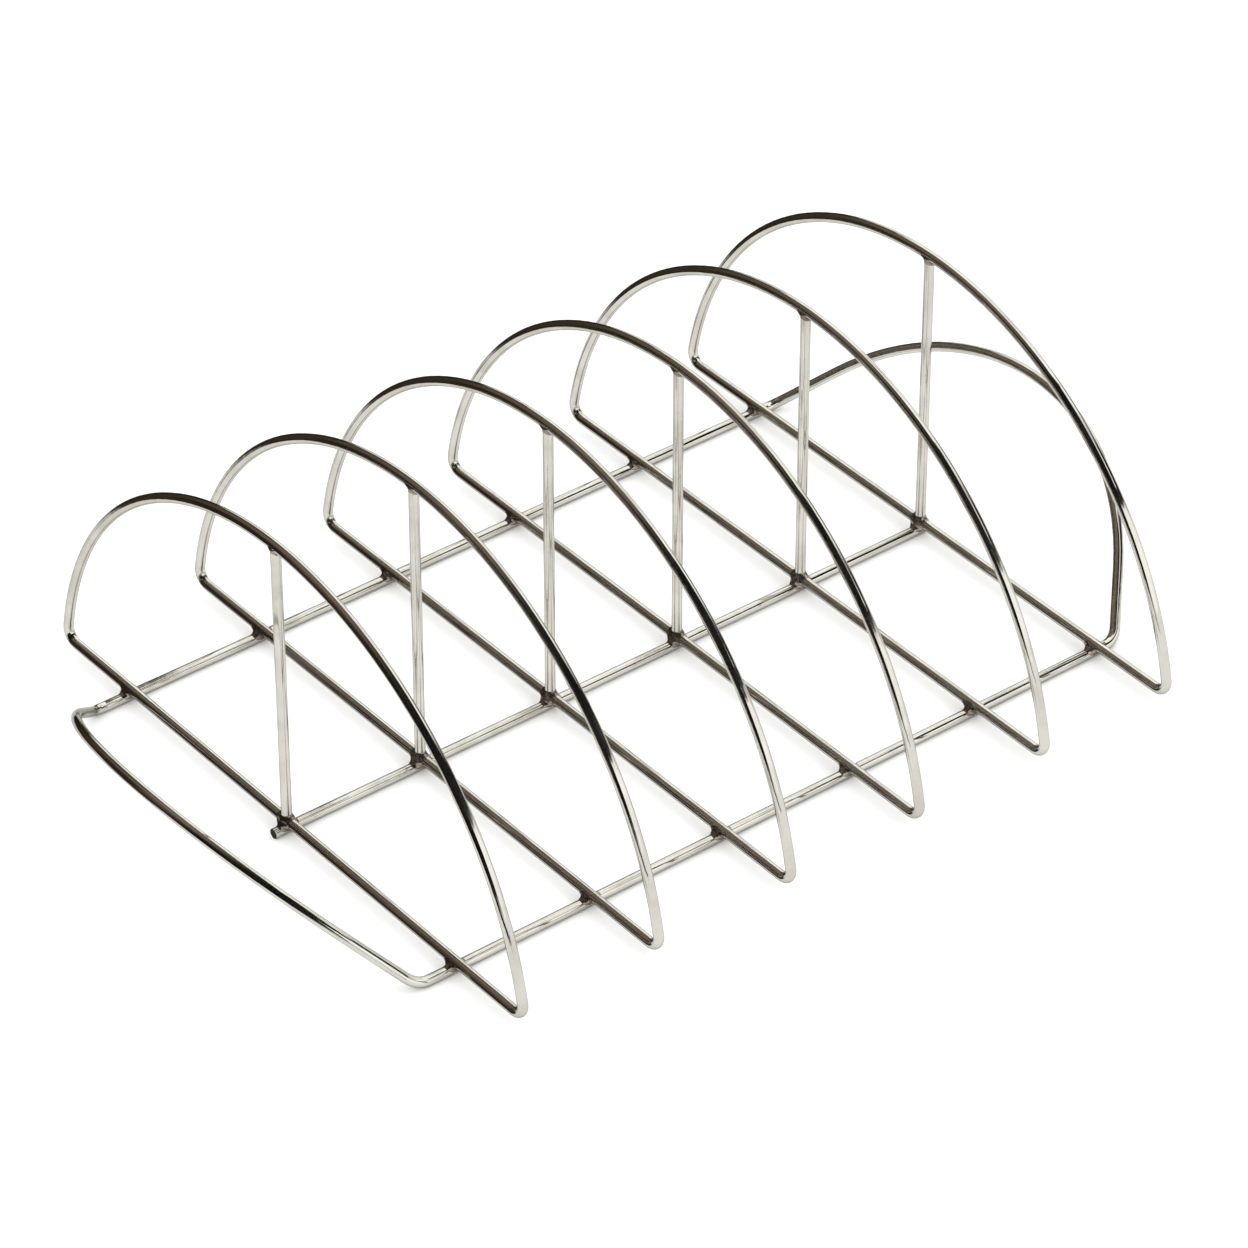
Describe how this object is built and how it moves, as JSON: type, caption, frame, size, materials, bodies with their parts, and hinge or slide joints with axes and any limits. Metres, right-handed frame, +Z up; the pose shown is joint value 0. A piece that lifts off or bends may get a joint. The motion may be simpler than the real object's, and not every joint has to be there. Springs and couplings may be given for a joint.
{
  "type": "toast rack",
  "caption": "Welded round-wire toast rack: D-shaped hoops with centre posts across a wire base frame with an upswept bow handle at each end.",
  "frame": {"origin": "centre of the bounding box, at its base, on the table that the rails lie on", "axes": "+X along the rack from the front handle to the back handle, across the toast slots; +Y along the hoops' bars; +Z up"},
  "size_m": [0.1792, 0.1208, 0.055],
  "materials": {
    "wire_chrome": "bright polished chrome plate on drawn steel wire",
    "weld_chrome": "chrome plate over slightly uneven weld metal"
  },
  "bodies": {
    "root": {"base_frame": "wire_chrome", "centre_rail": "wire_chrome", "hoop_1": "wire_chrome", "hoop_2": "wire_chrome", "hoop_3": "wire_chrome", "hoop_4": "wire_chrome", "hoop_5": "wire_chrome", "hoop_6": "wire_chrome", "post_1": "wire_chrome", "post_2": "wire_chrome", "post_3": "wire_chrome", "post_4": "wire_chrome", "post_5": "wire_chrome", "post_6": "wire_chrome", "welds_hoop_1": "weld_chrome", "welds_hoop_2": "weld_chrome", "welds_hoop_3": "weld_chrome", "welds_hoop_4": "weld_chrome", "welds_hoop_5": "weld_chrome", "welds_hoop_6": "weld_chrome"}
  },
  "joints": []
}
